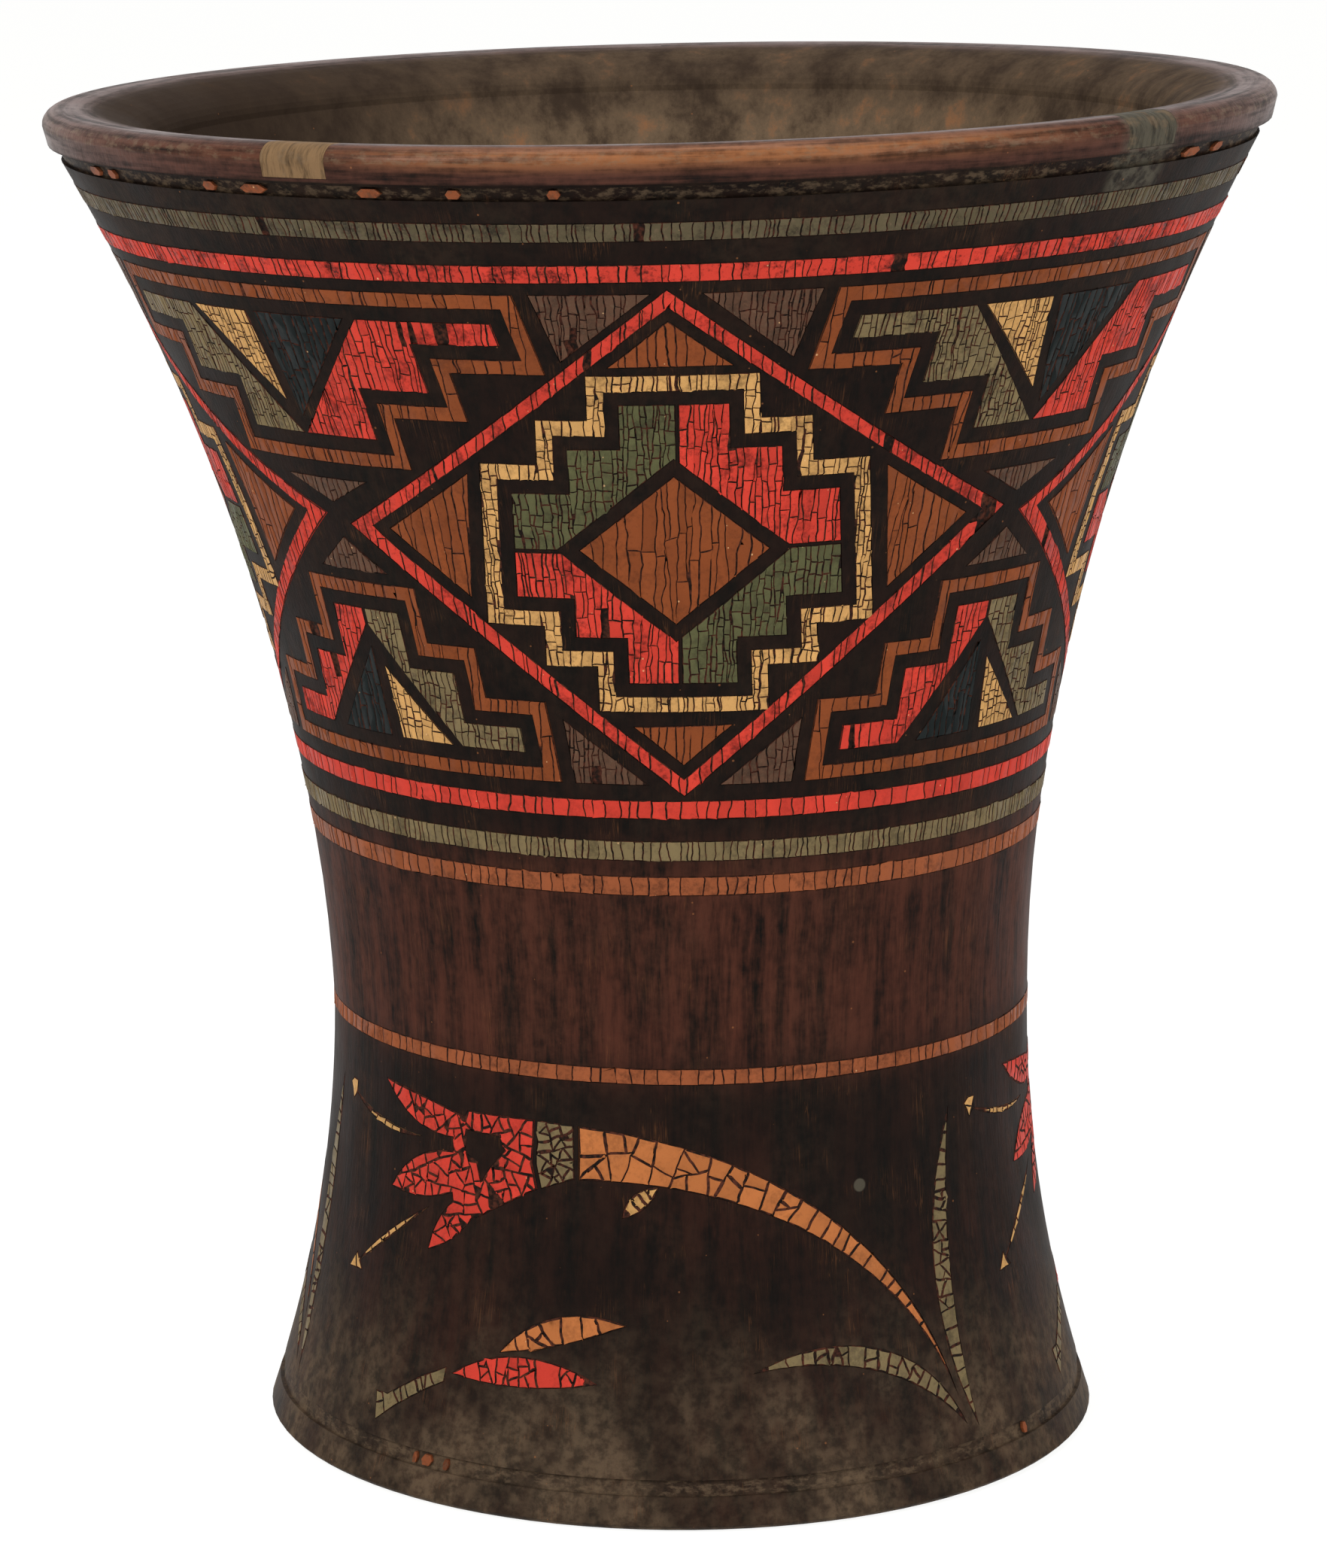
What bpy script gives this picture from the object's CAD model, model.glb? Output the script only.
import math
import random

import bmesh
import bpy
from bpy.props import FloatProperty, FloatVectorProperty, PointerProperty
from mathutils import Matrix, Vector, noise


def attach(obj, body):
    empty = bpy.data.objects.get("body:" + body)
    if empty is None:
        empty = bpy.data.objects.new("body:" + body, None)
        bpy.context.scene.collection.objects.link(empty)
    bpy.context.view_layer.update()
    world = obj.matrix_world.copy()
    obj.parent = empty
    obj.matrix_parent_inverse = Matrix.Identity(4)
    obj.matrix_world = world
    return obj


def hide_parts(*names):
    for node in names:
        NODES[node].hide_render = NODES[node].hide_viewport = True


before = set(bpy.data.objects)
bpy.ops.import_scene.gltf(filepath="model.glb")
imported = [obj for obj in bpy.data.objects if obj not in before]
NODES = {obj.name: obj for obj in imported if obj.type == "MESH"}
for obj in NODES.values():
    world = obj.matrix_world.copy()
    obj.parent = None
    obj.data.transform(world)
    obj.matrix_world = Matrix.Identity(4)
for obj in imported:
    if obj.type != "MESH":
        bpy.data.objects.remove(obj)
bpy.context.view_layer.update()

bl_info = {
    "name": "Inlaid kero",
    "version": (1, 0, 0),
    "blender": (4, 5, 0),
    "location": "View3D > Sidebar > Kero",
    "description": "Dresses a carved wooden cup and its resin inlay, and sets it in a studio",
    "category": "Object",
}

SIDES = ("front", "right", "back", "left")

MM = 1000.0

# The wall's shape, in millimetres: the materials follow it
UPPER_CURVE = 300.0
UPPER_UPRIGHT = 50.4
UPPER_R = 51.66
FOOT_CURVE = 200.0
FOOT_UPRIGHT = 64.6
WAIST_R = 52.4
PIVOT = 64.9
LEAN = math.tan(math.radians(1.35))
BACK_LEAN = math.tan(math.radians(0.75))
WRAP_R = 65.0
LIP_Z = 195.3

# Where the wood changes, in millimetres up: redder round the waist, dusty on the foot and below the lip
WAIST_FROM = (60.0, 70.0)
WAIST_TO = (90.0, 103.0)
FOOT_TO = (60.0, 66.0)
FOOT_DUST_TO = (3.0, 36.0)
TOP_DUST_FROM = (176.0, 190.0)
# The rubbed front of the lip, in millimetres round the wall
FRONT_FROM = (-40.0, -12.0)
FRONT_TO = (22.0, 52.0)
# The dark parts of the hollow, in millimetres: across to the right, and up
HOLLOW_LEFT = (-72.0, -18.0)
HOLLOW_TOP = (182.0, 199.0)
# Marks on the wood, in millimetres: the dent's place, and where bare ground fades in and out
DENT = (25.8, -46.5, 47.2)
BARE_LEFT = (50.0, 52.0)
BARE_RIGHT = (58.0, 60.5)
BARE_FOOT = (188.5, 190.5)

# White surroundings wash out dark colours, so nothing mirrors much
WOOD_SPECULAR = 0.03
DULL_SPECULAR = 0.05
RESIN_SPECULAR = 0.06
COAT_ROUGHNESS = 0.3

# Height of the finest relief, in metres, and the shades of the darkest and the lightest tile
WOOD_RELIEF = 0.0003
RESIN_RELIEF = 0.0002
DARK_TILE = 0.72
LIGHT_TILE = 1.22

# Crazing, in metres: vertices this close are one, and a crack this close to a vertex runs through it
SAME_PLACE = 0.000001
SNAP = 0.00003
# An outer face looks outwards, at least by this share of its normal
FACING_OUT = 0.6
# A tile cracks again once it is larger than its size by a factor between these, near its middle
LARGE = (1.25, 1.9)
BLOCK_MIDDLE = (0.38, 0.62)
COLUMN_MIDDLE = (0.36, 0.64)
TILE_MIDDLE = (0.34, 0.66)
# Cracks waver: the spacing of their bends, and how far and how often they swing, across and up
CRACK_STEP = 0.0006
WAVES_ACROSS = ((0.00036, 400.0), (0.00014, 1100.0))
WAVE_UP = 0.00026
WAVE_UP_OFTEN = 520.0
WAVE_UP_FROM = Vector((7.0, 3.0, 5.0))
# A tile is set back from a crack by a share of its width, and lies lower than others by up to so much
SET_BACK = (0.25, 0.7)
UNEVEN = 0.00003
# Lost tiles: how patchy the loss is, how much chance plays in it, where it starts, and how deep it goes
LOSS_OFTEN = 130.0
LOSS_SPREAD = 0.4
LOSS_FROM = 0.92
LOSS_DEPTH = 0.0003
# Edges sharper than this are shaded as edges
SHARP = math.radians(18.0)

# The photograph's height, and how far the cup's axis is from its middle, in pixels, and the sensor's width
PHOTO_HEIGHT = 2084.0
PHOTO_SHIFT = (-23.16, 10.31)
SENSOR = 36.0

# Stage: the floor's size and glow, the strength of the light from all round, and the lamps, each with its
# name, place, aim, size and power
FLOOR_SIZE = 8.0
FLOOR_GLOW = 1.18
GLOW_SHARE = 0.8
AROUND = 0.45
LAMPS = (
    ("key_lamp", (-0.75, -0.85, 0.95), (0.0, 0.0, 0.11), (0.7, 0.7), 11.0),
    ("fill_lamp", (0.95, -0.7, 0.55), (0.0, 0.0, 0.1), (0.7, 0.9), 6.0),
    ("top_lamp", (0.0, 0.1, 1.2), (0.0, 0.0, 0.1), (0.9, 0.6), 5.0),
)


def srgb(red, green, blue):
    """A colour as it is seen, from 0 to 255, as Blender's linear one."""
    def linear(c):
        c /= 255.0
        return c / 12.92 if c <= 0.04045 else ((c + 0.055) / 1.055) ** 2.4
    return (linear(red), linear(green), linear(blue))


def colour(name, seen, text):
    return FloatVectorProperty(name=name, description=text, subtype="COLOR", size=3, min=0.0, max=1.0,
                               default=srgb(*seen))


class KeroWoodSettings(bpy.types.PropertyGroup):
    """Colours of the wood."""
    dark: colour("Dark wood", (14, 13, 12), "Wood between the resin pieces")
    red: colour("Red wood", (80, 44, 33), "Streaks of redder wood, strongest round the waist")
    lip: colour("Lip", (76, 42, 30), "Wood of the lip, rubbed by hands and mouths")
    inside: colour("Inside", (46, 36, 29), "Wood inside the cup, where it is not dusty")
    dust: colour("Dust", (112, 93, 73), "Dust inside the cup and on its foot")
    tan: colour("Tan", (150, 96, 58), "Bare wood in chips and worn edges")
    tan_tab: colour("Tan tab", (122, 96, 68), "The left tab in the lip")
    grey_tab: colour("Grey tab", (78, 73, 62), "The right tab in the lip, and bare ground")


class KeroResinSettings(bpy.types.PropertyGroup):
    """Colours of the resin, and its cracks."""
    red: colour("Red", (192, 58, 45), "Red resin")
    ochre: colour("Ochre", (124, 64, 33), "Brown ochre resin of the frieze")
    band: colour("Band", (138, 76, 46), "Ochre resin of the rings")
    cream: colour("Cream", (194, 148, 90), "Cream resin")
    green: colour("Green", (82, 82, 54), "Green resin of the diamonds")
    sage: colour("Sage", (114, 99, 69), "Grey green resin")
    moss: colour("Moss", (86, 77, 57), "Weathered green resin of the upper ring")
    umber: colour("Umber", (86, 61, 47), "Grey brown resin")
    teal: colour("Teal", (22, 28, 28), "Almost black resin")
    stem: colour("Stem", (172, 103, 57), "Light ochre resin of the stems")
    spot: colour("Spot", (226, 180, 130), "Pale specks on the resin")
    crack: colour("Crack", (24, 18, 15), "Dirt in the cracks")
    column: FloatProperty(name="Column", description="Spacing of the upright cracks", default=0.0012,
                          min=0.0006, max=0.004, unit="LENGTH")
    tile: FloatProperty(name="Tile", description="Spacing of the cracks across a column", default=0.0028,
                        min=0.0008, max=0.01, unit="LENGTH")
    crack_width: FloatProperty(name="Crack width", description="Width of a crack", default=0.00023,
                               min=0.00004, max=0.0006, unit="LENGTH")
    crack_depth: FloatProperty(name="Crack depth", description="Depth of a crack", default=0.00015,
                               min=0.00002, max=0.0004, unit="LENGTH")


class KeroStageSettings(bpy.types.PropertyGroup):
    """Floor, lamps and camera."""
    floor: colour("Floor", (250, 250, 249), "Pale floor")
    distance: FloatProperty(name="Distance", description="From the camera to the middle of the cup",
                            default=0.857692, min=0.3, max=3.0, unit="LENGTH")
    elevation: FloatProperty(name="Elevation", description="Angle of the camera above the horizon",
                             default=math.radians(12.541), min=0.0, max=1.5, subtype="ANGLE")
    aim: FloatProperty(name="Aim", description="Height that the camera looks at", default=0.095,
                       min=0.0, max=0.3, unit="LENGTH")
    lens: FloatProperty(name="Lens", description="Focal length in millimetres", default=130.854,
                        min=20.0, max=300.0)


def settings():
    return bpy.context.scene.kero


class KeroSettings(bpy.types.PropertyGroup):
    """All that a user would change."""
    wood: PointerProperty(type=KeroWoodSettings)
    resin: PointerProperty(type=KeroResinSettings)
    stage: PointerProperty(type=KeroStageSettings)


class Tree:
    """Adds nodes to a shader tree. A socket, a number or a colour may stand for any input."""

    def __init__(self, tree):
        self.tree = tree

    def put(self, socket, value):
        if isinstance(value, bpy.types.NodeSocket):
            self.tree.links.new(value, socket)
        elif socket.type == "RGBA" and len(value) == 3:
            socket.default_value = (*value, 1.0)
        else:
            socket.default_value = value

    def node(self, kind, inputs=None, **values):
        node = self.tree.nodes.new("ShaderNode" + kind)
        for name, value in values.items():
            setattr(node, name, value)
        for name, value in (inputs or {}).items():
            self.put(node.inputs[name], value)
        return node

    def math(self, operation, *values, clamp=False):
        node = self.node("Math", operation=operation, use_clamp=clamp)
        for i, value in enumerate(values):
            self.put(node.inputs[i], value)
        return node.outputs[0]

    def mul(self, a, b):
        return self.math("MULTIPLY", a, b)

    def add(self, a, b):
        return self.math("ADD", a, b)

    def sub(self, a, b):
        return self.math("SUBTRACT", a, b)

    def vector(self, x, y, z=0.0):
        return self.node("CombineXYZ", {"X": x, "Y": y, "Z": z}).outputs[0]

    def scaled(self, vector, by):
        node = self.node("VectorMath", operation="MULTIPLY")
        self.put(node.inputs[0], vector)
        self.put(node.inputs[1], by)
        return node.outputs[0]

    def noise(self, vector, scale, detail=2.0, rough=0.55):
        node = self.node("TexNoise", {"Vector": vector, "Scale": scale, "Detail": detail,
                                      "Roughness": rough})
        return node.outputs["Fac"]

    def ramp(self, value, low, high, out_low=0.0, out_high=1.0):
        """A soft step from low to high."""
        node = self.node("MapRange", {"Value": value, "From Min": low, "From Max": high,
                                      "To Min": out_low, "To Max": out_high},
                         interpolation_type="SMOOTHSTEP")
        return node.outputs["Result"]

    def mix(self, share, a, b):
        node = self.node("Mix", data_type="RGBA", clamp_factor=True)
        self.put(node.inputs["Factor"], share)
        self.put([s for s in node.inputs if s.name == "A" and s.type == "RGBA"][0], a)
        self.put([s for s in node.inputs if s.name == "B" and s.type == "RGBA"][0], b)
        return [s for s in node.outputs if s.type == "RGBA"][0]

    def bump(self, height, strength, distance):
        node = self.node("Bump", {"Height": height, "Strength": strength, "Distance": distance})
        return node.outputs["Normal"]

    def group(self, tree, **values):
        node = self.tree.nodes.new("ShaderNodeGroup")
        node.node_tree = tree
        for name, value in values.items():
            self.put(node.inputs[name.replace("_", " ").capitalize()], value)
        return node.outputs


def new_group(name, inputs, outputs):
    """An empty node group with these sockets, and its Tree, its inputs and its output node."""
    tree = bpy.data.node_groups.new(name, "ShaderNodeTree")
    for socket, default in inputs.items():
        made = tree.interface.new_socket(socket, in_out="INPUT", socket_type="NodeSocketFloat")
        made.default_value = default
    for socket, kind in outputs.items():
        tree.interface.new_socket(socket, in_out="OUTPUT", socket_type="NodeSocket" + kind)
    start = tree.nodes.new("NodeGroupInput")
    end = tree.nodes.new("NodeGroupOutput")
    return Tree(tree), start.outputs, end.inputs


def shared_group(name):
    """The group of that name, built the first time it is asked for."""
    found = bpy.data.node_groups.get(name)
    return found or GROUPS[name]()


def cup_place():
    """Where a point lies on the cup, in millimetres: round the wall, up, and below the outer face."""
    t, _, end = new_group("cup_place", {}, {"Wrap": "Vector", "Round": "Vector", "Height": "Float",
                                            "Depth": "Float"})
    place = t.node("TexCoord").outputs["Object"]
    x, y, z = (t.mul(s, MM) for s in t.node("SeparateXYZ", {"Vector": place}).outputs)
    high = t.math("GREATER_THAN", z, PIVOT)
    tip = t.sub(t.mul(y, BACK_LEAN), t.mul(x, LEAN))
    z = t.add(z, t.mul(tip, high))
    above = t.mul(t.sub(z, PIVOT), high)
    x = t.add(x, t.mul(above, LEAN))
    y = t.sub(y, t.mul(above, BACK_LEAN))
    turn = t.math("ARCTAN2", x, t.mul(y, -1.0))
    radius = t.math("SQRT", t.add(t.mul(x, x), t.mul(y, y)))

    def wall(curve, upright, r0):
        off = t.sub(z, upright)
        inside = t.sub(curve * curve, t.mul(off, off))
        return t.sub(r0 + curve, t.math("SQRT", inside))

    upper = t.math("MAXIMUM", wall(UPPER_CURVE, UPPER_UPRIGHT, UPPER_R), WAIST_R)
    foot = wall(FOOT_CURVE, FOOT_UPRIGHT, WAIST_R)
    outside = t.add(t.mul(high, upper), t.mul(t.sub(1.0, high), foot))
    t.put(end["Wrap"], t.vector(t.mul(turn, WRAP_R), z))
    t.put(end["Round"], t.scaled(place, (MM, MM, MM)))
    t.put(end["Height"], z)
    t.put(end["Depth"], t.sub(outside, radius))
    return t.tree


def specks():
    """Small spots, few or many."""
    t, start, end = new_group("specks", {"Spacing": 1.6, "Size": 0.16, "Few": 0.8}, {"Spot": "Float"})
    place = t.group(shared_group("cup_place"))["Round"]
    scale = t.math("DIVIDE", 1.0, start["Spacing"])
    cell = t.node("TexVoronoi", {"Vector": place, "Scale": scale, "Randomness": 1.0},
                  voronoi_dimensions="3D", feature="F1").outputs
    lot = t.node("SeparateColor", {"Color": cell["Color"]}).outputs
    size = t.math("DIVIDE", t.mul(start["Size"], t.add(lot[2], 0.4)), start["Spacing"])
    spot = t.ramp(t.math("DIVIDE", cell["Distance"], size), 0.6, 1.0, 1.0, 0.0)
    t.put(end["Spot"], t.mul(spot, t.math("GREATER_THAN", lot[0], start["Few"])))
    return t.tree


def scuffs():
    """Fine scratches, upright and slanting, and rubbed patches."""
    t, start, end = new_group("scuffs", {"Few": 0.7}, {"Scratch": "Float", "Rub": "Float"})
    wrap = t.group(shared_group("cup_place"))["Wrap"]

    def lines(turn, across, along):
        node = t.node("Mapping", {"Vector": wrap, "Rotation": (0.0, 0.0, turn),
                                  "Scale": (across, along, 1.0)})
        value = t.noise(node.outputs[0], 1.0, 1.0, 0.4)
        return t.ramp(t.math("ABSOLUTE", t.sub(value, 0.5)), 0.0, 0.012, 1.0, 0.0)

    where = t.ramp(t.noise(t.scaled(wrap, (0.12, 0.12, 0.0)), 1.0, 3.0), start["Few"], 0.85)
    slanting = t.math("MAXIMUM", lines(1.1, 1.6, 0.05), lines(-0.8, 1.9, 0.06))
    scratch = t.math("MAXIMUM", lines(0.1, 2.2, 0.07), slanting)
    t.put(end["Scratch"], t.mul(scratch, where))
    t.put(end["Rub"], t.noise(t.scaled(wrap, (0.06, 0.045, 0.0)), 1.0, 4.0, 0.6))
    return t.tree


GROUPS = {"cup_place": cup_place, "specks": specks, "scuffs": scuffs}


def new_material(name):
    """An empty material, its Tree and its Principled shader."""
    material = bpy.data.materials.new(name)
    material.use_nodes = True
    material.node_tree.nodes.clear()
    t = Tree(material.node_tree)
    shader = t.node("BsdfPrincipled")
    out = t.node("OutputMaterial")
    material.node_tree.links.new(shader.outputs["BSDF"], out.inputs["Surface"])
    return material, t, shader


class Wood:
    """Builds the material of the cup's wood."""

    def __init__(self):
        self.colours = settings().wood
        self.material, self.t, self.shader = new_material("kero_wood")
        t = self.t
        place = t.group(shared_group("cup_place"))
        self.spot, self.height, self.depth = place["Round"], place["Height"], place["Depth"]
        self.turn = t.node("SeparateXYZ", {"Vector": place["Wrap"]}).outputs["X"]
        self.scuff = t.group(shared_group("scuffs"), few=0.5)
        self.fine = t.noise(t.scaled(self.spot, (1.9, 1.9, 0.2)), 1.0, 3.0, 0.6)
        self.mottle = t.noise(self.spot, 0.55, 5.0, 0.65)
        self.flake = t.noise(t.scaled(self.spot, (0.11, 0.11, 0.075)), 1.0, 7.0, 0.72)
        along = t.vector(t.mul(self.turn, 0.07), t.mul(self.depth, 0.8), t.mul(self.height, 0.8))
        self.rubs = t.add(t.mul(t.noise(along, 1.0, 5.0, 0.6), 0.7), t.mul(self.mottle, 0.3))
        self.lip = t.mul(t.ramp(self.height, LIP_Z - 0.1, LIP_Z + 0.4),
                         t.ramp(self.depth, 7.0, 12.0, 1.0, 0.0))
        self.inside = t.ramp(self.depth, 6.0, 11.0)

    def ground(self):
        """The outer face: dark and streaked, redder round the waist, dusty at the foot."""
        t, s, height = self.t, self.colours, self.height
        streak = t.noise(t.scaled(self.spot, (0.3, 0.3, 0.025)), 1.0, 5.0, 0.65)
        cloud = t.noise(self.spot, 0.035, 4.0, 0.6)
        waist = t.mul(t.ramp(height, *WAIST_FROM), t.ramp(height, *WAIST_TO, 1.0, 0.0))
        foot = t.mul(t.ramp(height, *FOOT_TO, 1.0, 0.0), t.ramp(cloud, 0.42, 0.66))
        redness = t.add(t.mul(waist, 0.68), t.mul(foot, 0.14))
        grain = t.add(t.mul(streak, 0.6), t.add(t.mul(self.fine, 0.2), t.mul(self.mottle, 0.2)))
        skin = t.mix(t.mul(t.ramp(grain, 0.34, 0.62), t.add(redness, 0.1)), s.dark, s.red)
        dusty = t.add(t.ramp(height, *FOOT_DUST_TO, 0.85, 0.05), t.ramp(height, *TOP_DUST_FROM, 0.0, 0.05))
        dusty = t.mul(dusty, t.ramp(self.scuff["Rub"], 0.4, 0.62, 0.25, 1.0))
        dusty = t.mul(dusty, t.ramp(self.mottle, 0.35, 0.65, 0.25, 0.7))
        skin = t.mix(dusty, skin, s.dust)
        return t.mix(t.mul(self.scuff["Scratch"], 0.3), skin, s.tan)

    def lip_skin(self):
        """The lip: rubbed smooth, most of all at the front, with small bare chips."""
        t, s = self.t, self.colours
        skin = t.mix(t.ramp(self.rubs, 0.28, 0.66), s.dark, s.lip)
        front = t.mul(t.ramp(self.turn, *FRONT_FROM, 0.1, 1.0), t.ramp(self.turn, *FRONT_TO, 1.0, 0.1))
        shoulder = t.mul(t.ramp(self.height, LIP_Z + 1.0, LIP_Z + 4.0),
                         t.ramp(self.depth, 1.0, 5.0, 1.0, 0.0))
        worn = t.mul(t.mul(shoulder, front), t.ramp(self.rubs, 0.34, 0.62, 0.2, 0.8))
        skin = t.mix(worn, skin, s.tan)
        chips = t.group(shared_group("specks"), spacing=7.0, size=0.9, few=0.78)["Spot"]
        return t.mix(t.mul(chips, t.ramp(self.mottle, 0.4, 0.55, 0.2, 0.9)), skin, s.tan)

    def crusted(self, skin):
        """Adds a patchy crust on the floors of the two open lines."""
        t = self.t
        worn = t.mul(t.ramp(self.depth, 0.2, 0.4), t.ramp(self.depth, 1.6, 2.4, 1.0, 0.0))
        crust = t.noise(t.scaled(self.spot, (0.5, 0.5, 1.1)), 1.0, 5.0, 0.68)
        return t.mix(t.mul(worn, t.ramp(crust, 0.46, 0.64, 0.0, 0.4)), skin, self.colours.dust)

    def inside_skin(self):
        """The hollow: dark on the left and below the lip, dry and flaking elsewhere."""
        t, s = self.t, self.colours
        across = t.node("SeparateXYZ", {"Vector": self.spot}).outputs["X"]
        dry = t.mul(t.ramp(across, *HOLLOW_LEFT, 0.15, 1.0), t.ramp(self.height, *HOLLOW_TOP, 1.0, 0.35))
        skin = t.mix(t.mul(dry, t.ramp(self.flake, 0.34, 0.62, 0.15, 1.0)), s.inside, s.dust)
        return t.mix(t.mul(t.ramp(self.flake, 0.56, 0.7), t.mul(dry, 0.6)), skin, s.tan)

    def marked(self, skin):
        """Adds bare ground below the right tab, a dent near the front leaf, and pale dots."""
        t, s = self.t, self.colours
        bare = t.mul(t.ramp(self.turn, *BARE_LEFT), t.ramp(self.turn, *BARE_RIGHT, 1.0, 0.0))
        bare = t.mul(bare, t.mul(t.ramp(self.height, *BARE_FOOT), t.ramp(self.depth, 2.0, 4.0, 1.0, 0.0)))
        skin = t.mix(t.mul(bare, t.ramp(self.mottle, 0.36, 0.6, 0.1, 0.75)), skin, s.grey_tab)
        away = t.node("VectorMath", operation="DISTANCE")
        t.put(away.inputs[0], self.spot)
        t.put(away.inputs[1], DENT)
        skin = t.mix(t.ramp(away.outputs["Value"], 0.8, 1.1, 0.8, 0.0), skin, s.grey_tab)
        dots = t.group(shared_group("specks"), spacing=1.9, size=0.15, few=0.8)["Spot"]
        return t.mix(t.mul(dots, 0.4), skin, s.tan)

    def gloss(self):
        """Sets how rough and how shiny the wood is: the lip shines, and the hollow is dull."""
        t, shader = self.t, self.shader
        rough = t.ramp(self.scuff["Rub"], 0.3, 0.7, 0.46, 0.6)
        rough = t.sub(rough, t.mul(self.lip, t.ramp(self.rubs, 0.35, 0.6, 0.08, 0.2)))
        t.put(shader.inputs["Roughness"], t.math("ADD", rough, t.mul(self.inside, 0.3), clamp=True))
        shader.inputs["Specular IOR Level"].default_value = WOOD_SPECULAR
        shine = t.mul(self.lip, t.sub(1.0, self.inside))
        t.put(shader.inputs["Coat Weight"], t.mul(shine, t.ramp(self.rubs, 0.35, 0.6, 0.06, 0.22)))
        shader.inputs["Coat Roughness"].default_value = COAT_ROUGHNESS

    def build(self):
        t, shader = self.t, self.shader
        skin = self.crusted(t.mix(self.lip, self.ground(), self.lip_skin()))
        skin = self.marked(t.mix(self.inside, skin, self.inside_skin()))
        t.put(shader.inputs["Base Color"], skin)
        self.gloss()
        relief = t.add(t.mul(self.fine, 0.5), t.mul(self.mottle, 0.4))
        relief = t.add(relief, t.mul(t.mul(self.flake, self.inside), 1.5))
        relief = t.sub(relief, t.mul(self.scuff["Scratch"], 0.5))
        t.put(shader.inputs["Normal"], t.bump(relief, 0.4, WOOD_RELIEF))
        return self.material


def tab_material(name, base):
    """One of the two tabs: dry resin with upright marks."""
    s = settings().wood
    material, t, shader = new_material("kero_" + name)
    place = t.group(shared_group("cup_place"))
    marks = t.noise(t.scaled(place["Wrap"], (1.6, 0.2, 0.0)), 1.0, 4.0, 0.65)
    cloud = t.noise(place["Round"], 0.4, 4.0, 0.6)
    skin = t.mix(t.ramp(marks, 0.3, 0.6, 0.3, 1.0), s.dark, base)
    skin = t.mix(t.mul(t.ramp(cloud, 0.5, 0.7), 0.6), skin, s.dust)
    t.put(shader.inputs["Base Color"], skin)
    t.put(shader.inputs["Roughness"], t.ramp(cloud, 0.3, 0.7, 0.55, 0.8))
    shader.inputs["Specular IOR Level"].default_value = DULL_SPECULAR
    t.put(shader.inputs["Normal"], t.bump(marks, 0.6, WOOD_RELIEF))
    return material


def resin_material(name, base, grime=0.4, fade=0.0):
    """One colour of resin: each tile has its own shade, and all of it is a little dirty."""
    wood = settings().wood
    material, t, shader = new_material("kero_" + name)
    place = t.group(shared_group("cup_place"))
    shade = t.node("Attribute", attribute_name="shade").outputs["Fac"]
    tone = t.noise(t.scaled(place["Wrap"], (0.16, 0.1, 0.0)), 1.0, 3.0, 0.6)
    grain = t.noise(place["Round"], 1.6, 3.0, 0.65)
    low = tuple(c * DARK_TILE for c in base)
    high = tuple(min(1.0, c * LIGHT_TILE) for c in base)
    skin = t.mix(t.add(t.mul(shade, 0.5), t.mul(tone, 0.5)), low, high)
    blotch = t.noise(t.scaled(place["Round"], (0.22, 0.22, 0.22)), 1.0, 6.0, 0.72)
    dirt = t.ramp(t.add(t.mul(grain, 0.35), t.mul(blotch, 0.65)), 0.46, 0.64)
    skin = t.mix(t.mul(dirt, grime), skin, wood.dark)
    if fade:
        skin = t.mix(t.mul(t.ramp(grain, 0.5, 0.72), fade), skin, wood.dust)
    spots = t.group(shared_group("specks"), spacing=1.7, size=0.14, few=0.7)["Spot"]
    skin = t.mix(t.mul(spots, 0.55), skin, settings().resin.spot)
    t.put(shader.inputs["Base Color"], skin)
    t.put(shader.inputs["Roughness"], t.ramp(tone, 0.3, 0.7, 0.42, 0.6))
    shader.inputs["Specular IOR Level"].default_value = RESIN_SPECULAR
    t.put(shader.inputs["Normal"], t.bump(t.add(grain, t.mul(blotch, 0.5)), 0.25, RESIN_RELIEF))
    return material


def dirt_material():
    """What fills the cracks: black dirt, browner in places."""
    material, t, shader = new_material("kero_dirt")
    place = t.group(shared_group("cup_place"))
    lumps = t.noise(place["Round"], 0.9, 4.0, 0.65)
    skin = t.mix(t.ramp(lumps, 0.4, 0.68), settings().resin.crack, settings().wood.red)
    t.put(shader.inputs["Base Color"], skin)
    t.put(shader.inputs["Roughness"], t.ramp(lumps, 0.3, 0.7, 0.65, 0.85))
    shader.inputs["Specular IOR Level"].default_value = DULL_SPECULAR
    return material


def turn_of(point):
    """Angle of a point round the cup, from the front to the right."""
    return math.atan2(point.x, -point.y)


def outward(point):
    return Vector((point.x, point.y, 0.0)).normalized()


def corners(faces):
    """The faces' vertices, each one once, in a fixed order."""
    return list(dict.fromkeys(v for face in faces for v in face.verts))


def islands(faces):
    """Groups of faces that hang together."""
    left = dict.fromkeys(faces)
    groups = []
    while left:
        group = [next(iter(left))]
        del left[group[0]]
        for face in group:
            for other in (f for edge in face.edges for f in edge.link_faces):
                if other in left:
                    del left[other]
                    group.append(other)
        groups.append(group)
    return groups


def crack_plane(turn, radius, height, tip):
    """A plane through the wall at this place. Its normal leans by tip from the level way round the cup."""
    place = Vector((radius * math.sin(turn), -radius * math.cos(turn), height))
    return place, Vector((math.cos(turn) * math.cos(tip), math.sin(turn) * math.cos(tip), math.sin(tip)))


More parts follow.
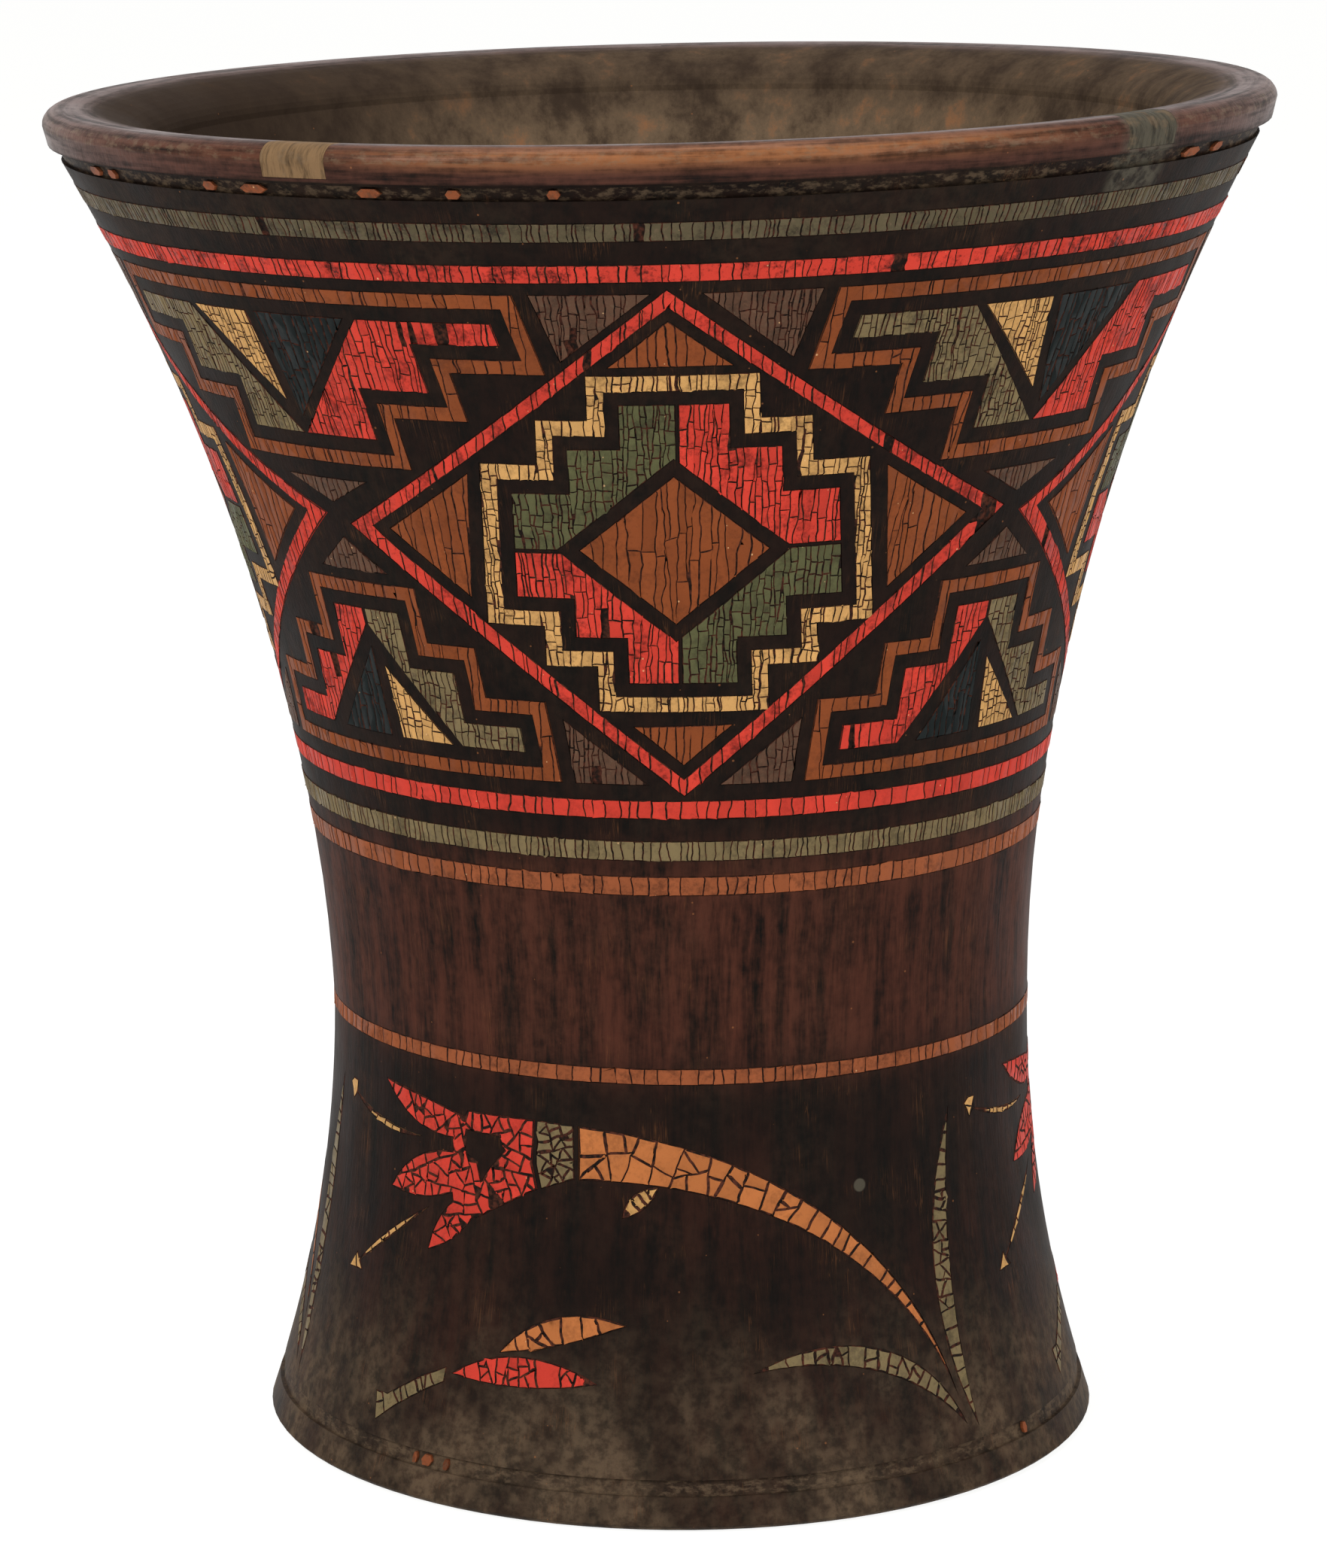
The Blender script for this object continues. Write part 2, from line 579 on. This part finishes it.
class Crazing:
    """Breaks the outer face of one piece of resin into tiles, with open cracks between them."""

    def __init__(self, seed, column, tile, slant, blocks, loss, width):
        s = settings().resin
        self.draw = random.Random(seed)
        self.column, self.tile = s.column * column, s.tile * tile
        self.width, self.depth = s.crack_width * width, s.crack_depth
        self.slant, self.blocks, self.loss = slant, blocks, loss

    def split(self, faces, place, normal):
        """Cuts the faces along a plane, and returns what lies on each side."""
        geom = [*corners(faces), *dict.fromkeys(e for face in faces for e in face.edges), *faces]
        made = bmesh.ops.bisect_plane(self.bm, geom=geom, dist=SNAP, plane_co=place, plane_no=normal)
        sides = ([], [])
        for face in made["geom"]:
            if isinstance(face, bmesh.types.BMFace):
                sides[(face.calc_center_median() - place).dot(normal) > 0.0].append(face)
        return [side for side in sides if side]

    def too_large(self, length, size):
        return length > size * self.draw.uniform(*LARGE)

    def block_cut(self, middle, off, heights):
        """A crack across the longest way of a tile, or None if it is small enough."""
        radius = math.hypot(middle.x, middle.y)
        rise = [z - middle.z for z in heights]
        lie = 0.5 * math.atan2(2.0 * sum(o * r for o, r in zip(off, rise)),
                               sum(o * o for o in off) - sum(r * r for r in rise))
        along = [o * math.cos(lie) + r * math.sin(lie) for o, r in zip(off, rise)]
        long = max(along) - min(along)
        if not self.too_large(long, self.tile):
            return None
        at = min(along) + long * self.draw.uniform(*BLOCK_MIDDLE)
        turn = turn_of(middle) + at * math.cos(lie) / radius
        tip = lie + self.draw.gauss(0.0, self.slant)
        return crack_plane(turn, radius, middle.z + at * math.sin(lie), tip)

    def column_cut(self, middle, off, heights):
        """An upright crack or, in a narrow column, one across it, or None if the tile is small enough."""
        base, radius = turn_of(middle), math.hypot(middle.x, middle.y)
        wide, tall = max(off) - min(off), max(heights) - min(heights)
        upright = self.too_large(wide, self.column)
        level = self.too_large(tall, self.tile)
        if upright:
            turn = base + (min(off) + wide * self.draw.uniform(*COLUMN_MIDDLE)) / radius
            return crack_plane(turn, radius, middle.z, self.draw.gauss(0.0, self.slant))
        if level:
            tip = self.draw.gauss(0.0, 2.0 * self.slant)
            height = min(heights) + tall * self.draw.uniform(*TILE_MIDDLE)
            normal = Vector((math.cos(base) * math.sin(tip), math.sin(base) * math.sin(tip), math.cos(tip)))
            return Vector((middle.x, middle.y, height)), normal
        return None

    def next_cut(self, faces):
        """Where a group of faces cracks next, or None if it is small enough."""
        points = [v.co for v in corners(faces)]
        middle = sum(points, Vector()) / len(points)
        radius = math.hypot(middle.x, middle.y)
        if radius < 0.5 * math.hypot(points[0].x, points[0].y):
            # The faces go all round the cup, so the left is parted from the right
            return Vector((0.0, 0.0, middle.z)), Vector((1.0, 0.0, 0.0))
        base = turn_of(middle)
        off = [((turn_of(p) - base + math.pi) % math.tau - math.pi) * radius for p in points]
        cut = self.block_cut if self.blocks else self.column_cut
        return cut(middle, off, [p.z for p in points])

    def tiles(self, faces):
        """Groups of faces, cracked apart until each one is small enough."""
        waiting = islands(faces)
        done = []
        while waiting:
            group = waiting.pop()
            where = self.next_cut(group)
            if where:
                waiting.extend(self.split(group, *where))
            else:
                done.extend(islands(group))
        return done

    def waver(self, tiles):
        """Bends the straight cracks, and leaves the edge of the piece where it is."""
        owner = {face: i for i, tile in enumerate(tiles) for face in tile}
        for edge in list(dict.fromkeys(e for tile in tiles for face in tile for e in face.edges)):
            sides = [owner.get(face) for face in edge.link_faces]
            if None not in sides and len(set(sides)) > 1:
                parts = int(edge.calc_length() / CRACK_STEP) + 1
                for left in range(parts, 1, -1):
                    edge, _ = bmesh.utils.edge_split(edge, edge.verts[0], 1.0 / left)
        self.bm.normal_update()
        moves = {}
        for v in corners(face for tile in tiles for face in tile):
            if all(face in owner for face in v.link_faces):
                turn = turn_of(v.co)
                across = sum(size * noise.noise(v.co * often) for size, often in WAVES_ACROSS)
                up = WAVE_UP * noise.noise(v.co * WAVE_UP_OFTEN + WAVE_UP_FROM)
                move = Vector((math.cos(turn) * across, math.sin(turn) * across, up))
                moves[v] = move - v.normal * move.dot(v.normal)
        for v, move in moves.items():
            v.co += move

    def too_thin(self, faces):
        """True for a sliver that is hardly wider than a crack."""
        inside = dict.fromkeys(faces)
        edges = dict.fromkeys(e for face in faces for e in face.edges)
        rim = sum(e.calc_length() for e in edges if sum(f in inside for f in e.link_faces) == 1)
        return sum(f.calc_area() for f in faces) < 0.5 * self.width * rim

    def open_cracks(self, tiles):
        """Draws the tiles back from each other, sinks the cracks, and returns the tiles that are left."""
        cracks, whole = [], []
        for tile in tiles:
            if self.too_thin(tile):
                cracks.extend(tile)
                continue
            made = bmesh.ops.inset_region(self.bm, faces=tile, use_even_offset=False, use_boundary=True,
                                          thickness=self.width * self.draw.uniform(*SET_BACK))
            cracks.extend(made["faces"])
            whole.append(tile)
        kept = dict.fromkeys(v for tile in whole for v in corners(tile))
        for v in corners(cracks):
            if v not in kept:
                v.co -= outward(v.co) * self.depth
        for face in cracks:
            face.material_index = 1
        return whole

    def settle(self, tiles, shade):
        """Gives each tile its own height and shade, and takes a few tiles out."""
        for tile in tiles:
            place = tile[0].calc_center_median()
            sink = self.draw.uniform(0.0, UNEVEN)
            tone = self.draw.random()
            lost = noise.noise(place * LOSS_OFTEN) + LOSS_SPREAD * tone > LOSS_FROM - self.loss
            for face in tile:
                face[shade] = tone
                face.material_index = int(lost)
            for v in corners(tile):
                v.co -= outward(v.co) * (sink + (LOSS_DEPTH if lost else 0.0))

    def craze(self, mesh):
        """Returns a copy of the mesh with its outer face crazed, and the cracks in the second material."""
        self.bm = bm = bmesh.new()
        bm.from_mesh(mesh)
        bmesh.ops.remove_doubles(bm, verts=bm.verts, dist=SAME_PLACE)
        bm.normal_update()
        shade = bm.faces.layers.float.new("shade")
        for face in bm.faces:
            face.material_index = 0
            face[shade] = 0.5
        outer = [f for f in bm.faces if f.normal.dot(outward(f.calc_center_median())) > FACING_OUT]
        tiles = self.tiles(outer)
        self.waver(tiles)
        self.settle(self.open_cracks(tiles), shade)
        bm.normal_update()
        new = bpy.data.meshes.new(mesh.name + "_crazed")
        for face in bm.faces:
            face.smooth = True
        bm.to_mesh(new)
        bm.free()
        new.set_sharp_from_angle(angle=SHARP)
        return new


def inlay(material, names, column=1.0, tile=1.0, slant=0.05, blocks=False, loss=0.0, width=1.0):
    """Puts a crazed piece of this resin in place of each of these CAD nodes."""
    dirt = bpy.data.materials.get("kero_dirt") or dirt_material()
    for name in names:
        crazing = Crazing(sorted(NODES).index(name), column, tile, slant, blocks, loss, width)
        piece = bpy.data.objects.new(name + "_crazed", crazing.craze(NODES[name].data))
        bpy.context.scene.collection.objects.link(piece)
        piece.data.materials.append(material)
        piece.data.materials.append(dirt)
        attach(piece, "root")
        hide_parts(name)


def dress(material, names):
    """Gives these CAD nodes that one material."""
    for name in names:
        mesh = NODES[name].data
        mesh.materials.clear()
        mesh.materials.append(material)


class KERO_OT_wood(bpy.types.Operator):
    """Finishes the carved cup and the two tabs in its lip"""
    bl_idname = "kero.wood"
    bl_label = "Cup and tabs"

    def execute(self, context):
        dress(Wood().build(), ["wood_cup"])
        tabs = settings().wood
        dress(tab_material("tan_tab", tabs.tan_tab), ["rim_tab_left"])
        dress(tab_material("grey_tab", tabs.grey_tab), ["rim_tab_right"])
        return {"FINISHED"}


class KERO_OT_bands(bpy.types.Operator):
    """Finishes the rings of resin and what is left of the two worn lines"""
    bl_idname = "kero.bands"
    bl_label = "Bands"

    def execute(self, context):
        s = settings().resin
        red = resin_material("band_red", s.red, 0.25)
        worn_red = resin_material("worn_red", s.red, 0.95)
        sage = resin_material("band_sage", s.sage, 0.5, 0.2)
        moss = resin_material("worn_sage", s.moss, 0.85, 0.5)
        ochre = resin_material("band_ochre", s.band, 0.5)
        inlay(red, ["lower_red_band"], column=1.5, tile=1.6)
        inlay(worn_red, ["upper_red_band"], column=1.3, tile=1.4, loss=0.05)
        inlay(sage, ["lower_green_band"], column=0.9, tile=0.9)
        inlay(moss, ["upper_green_band"], column=0.9, tile=0.9, loss=0.1)
        inlay(ochre, ["lower_ochre_band", "waist_band"], column=1.6, tile=2.6)
        dress(resin_material("flecks", s.band, 0.6, 0.3), ["lip_line_flecks", "foot_line_flecks"])
        return {"FINISHED"}


class KERO_OT_frieze(bpy.types.Operator):
    """Finishes the diamonds, the stepped panels and the fillers between them"""
    bl_idname = "kero.frieze"
    bl_label = "Frieze"

    def execute(self, context):
        s = settings().resin
        red = resin_material("frieze_red", s.red, 0.66)
        ochre = resin_material("frieze_ochre", s.ochre, 0.3)
        cream = resin_material("frieze_cream", s.cream, 0.5)
        green = resin_material("frieze_green", s.green, 0.5, 0.15)
        sage = resin_material("frieze_sage", s.sage, 0.6, 0.3)
        umber = resin_material("frieze_umber", s.umber, 0.5, 0.3)
        teal = resin_material("frieze_teal", s.teal, 0.3)
        inlay(red, [f"{side}_diamond_frame" for side in SIDES], column=1.4, tile=1.5, loss=0.03)
        inlay(red, [f"{side}_red_quarters" for side in SIDES], tile=1.2, loss=0.04)
        browns = [f"{side}_{piece}" for side in SIDES for piece in ("diamond_corners", "centre_lozenge")]
        inlay(ochre, browns, column=1.3, tile=2.6)
        inlay(ochre, ["upper_panel_frames", "lower_panel_frames"], column=1.6, tile=2.2)
        inlay(cream, [f"{side}_cross_border" for side in SIDES], column=1.1, tile=0.6)
        inlay(cream, ["upper_panel_creams", "lower_panel_creams"], column=1.1, tile=0.6)
        inlay(green, [f"{side}_green_quarters" for side in SIDES], column=0.9, tile=0.75)
        inlay(sage, ["upper_panel_greens", "lower_panel_greens"], column=0.9, tile=0.75, loss=0.05)
        inlay(red, ["upper_panel_reds", "lower_panel_reds"], column=1.1, tile=1.2, loss=0.05)
        inlay(umber, ["upper_wedges", "lower_wedges", "crossing_fillers"], column=0.9, tile=0.9)
        inlay(teal, ["upper_panel_teals", "lower_panel_teals"], column=1.2, tile=1.6)
        return {"FINISHED"}


class KERO_OT_flowers(bpy.types.Operator):
    """Finishes the flowers below the waist"""
    bl_idname = "kero.flowers"
    bl_label = "Flowers"

    def execute(self, context):
        s = settings().resin
        red = resin_material("flower_red", s.red, 0.3)
        stem = resin_material("flower_stem", s.stem, 0.3)
        cream = resin_material("flower_cream", s.cream, 0.35)
        green = resin_material("flower_green", s.sage, 0.35, 0.1)
        sage = resin_material("flower_sage", s.sage, 0.5, 0.4)
        block = {"slant": 0.1, "blocks": True, "width": 1.9}
        inlay(red, ["flower_corollas", "bud_petals"], tile=0.75, loss=0.02, **block)
        inlay(stem, ["flower_stems", "bud_leaves"], tile=1.05, **block)
        inlay(cream, ["flower_stamens", "dewdrops"], tile=0.7, **block)
        inlay(green, ["flower_calyxes"], tile=0.6, **block)
        inlay(sage, ["upright_leaves", "arching_leaves", "bud_stalks"], tile=0.7, **block)
        return {"FINISHED"}


class KERO_OT_stage(bpy.types.Operator):
    """Sets the cup on a pale floor under soft lamps, and places the camera"""
    bl_idname = "kero.stage"
    bl_label = "Stage"

    def floor(self):
        s = settings().stage
        bpy.ops.object.select_all(action="DESELECT")
        bpy.ops.mesh.primitive_plane_add(size=FLOOR_SIZE, location=(0.0, 0.0, 0.0))
        plane = bpy.context.object
        plane.name = "studio_floor"
        material = bpy.data.materials.new("studio_floor")
        material.use_nodes = True
        material.node_tree.nodes.clear()
        t = Tree(material.node_tree)
        path = t.node("LightPath").outputs
        seen = t.math("MAXIMUM", path["Is Camera Ray"], path["Is Glossy Ray"])
        plain = t.node("BsdfDiffuse", {"Color": s.floor}).outputs[0]
        glow = t.node("Emission", {"Color": s.floor, "Strength": FLOOR_GLOW}).outputs[0]
        both = t.node("MixShader", {"Fac": t.mul(seen, GLOW_SHARE)})
        t.tree.links.new(plain, both.inputs[1])
        t.tree.links.new(glow, both.inputs[2])
        out = t.node("OutputMaterial")
        t.tree.links.new(both.outputs[0], out.inputs["Surface"])
        plane.data.materials.append(material)

    def lamp(self, name, place, aim, size, power):
        light = bpy.data.lights.new(name, "AREA")
        light.shape = "RECTANGLE"
        light.size, light.size_y = size
        light.energy = power
        lamp = bpy.data.objects.new(name, light)
        lamp.location = place
        lamp.rotation_euler = (Vector(aim) - Vector(place)).to_track_quat("-Z", "Y").to_euler()
        bpy.context.scene.collection.objects.link(lamp)

    def world(self):
        world = bpy.data.worlds.new("studio")
        bpy.context.scene.world = world
        world.use_nodes = True
        world.node_tree.nodes.clear()
        t = Tree(world.node_tree)
        path = t.node("LightPath").outputs
        seen = t.math("MAXIMUM", path["Is Camera Ray"], path["Is Glossy Ray"])
        white = t.node("Background", {"Color": (1.0, 1.0, 1.0), "Strength": 1.0})
        soft = t.node("Background", {"Color": (1.0, 0.99, 0.97), "Strength": AROUND})
        both = t.node("MixShader", {"Fac": seen})
        t.tree.links.new(soft.outputs[0], both.inputs[1])
        t.tree.links.new(white.outputs[0], both.inputs[2])
        out = t.node("OutputWorld")
        t.tree.links.new(both.outputs[0], out.inputs["Surface"])

    def camera(self):
        s = settings().stage
        data = bpy.data.cameras.new("photo_camera")
        data.sensor_width = SENSOR
        data.lens = s.lens
        data.shift_x, data.shift_y = (shift / PHOTO_HEIGHT for shift in PHOTO_SHIFT)
        data.clip_start = 0.01
        camera = bpy.data.objects.new("photo_camera", data)
        camera.location = (0.0, -s.distance * math.cos(s.elevation),
                           s.aim + s.distance * math.sin(s.elevation))
        camera.rotation_euler = (math.pi / 2.0 - s.elevation, 0.0, 0.0)
        bpy.context.scene.collection.objects.link(camera)
        bpy.context.scene.camera = camera

    def execute(self, context):
        self.floor()
        self.world()
        for lamp in LAMPS:
            self.lamp(*lamp)
        self.camera()
        context.scene.view_settings.view_transform = "Standard"
        return {"FINISHED"}


class KERO_PT_panel(bpy.types.Panel):
    """Steps of the scene, in order"""
    bl_idname = "KERO_PT_panel"
    bl_label = "Kero"
    bl_space_type = "VIEW_3D"
    bl_region_type = "UI"
    bl_category = "Kero"

    def draw(self, context):
        for step in STEPS:
            self.layout.operator(step.bl_idname)


STEPS = (KERO_OT_wood, KERO_OT_bands, KERO_OT_frieze, KERO_OT_flowers, KERO_OT_stage)
CLASSES = (KeroWoodSettings, KeroResinSettings, KeroStageSettings, KeroSettings, *STEPS, KERO_PT_panel)


def register():
    for cls in CLASSES:
        bpy.utils.register_class(cls)
    bpy.types.Scene.kero = PointerProperty(type=KeroSettings)


def unregister():
    del bpy.types.Scene.kero
    for cls in reversed(CLASSES):
        bpy.utils.unregister_class(cls)


def main():
    register()
    bpy.ops.kero.wood()
    bpy.ops.kero.bands()
    bpy.ops.kero.frieze()
    bpy.ops.kero.flowers()
    bpy.ops.kero.stage()


if __name__ == "__main__":
    main()
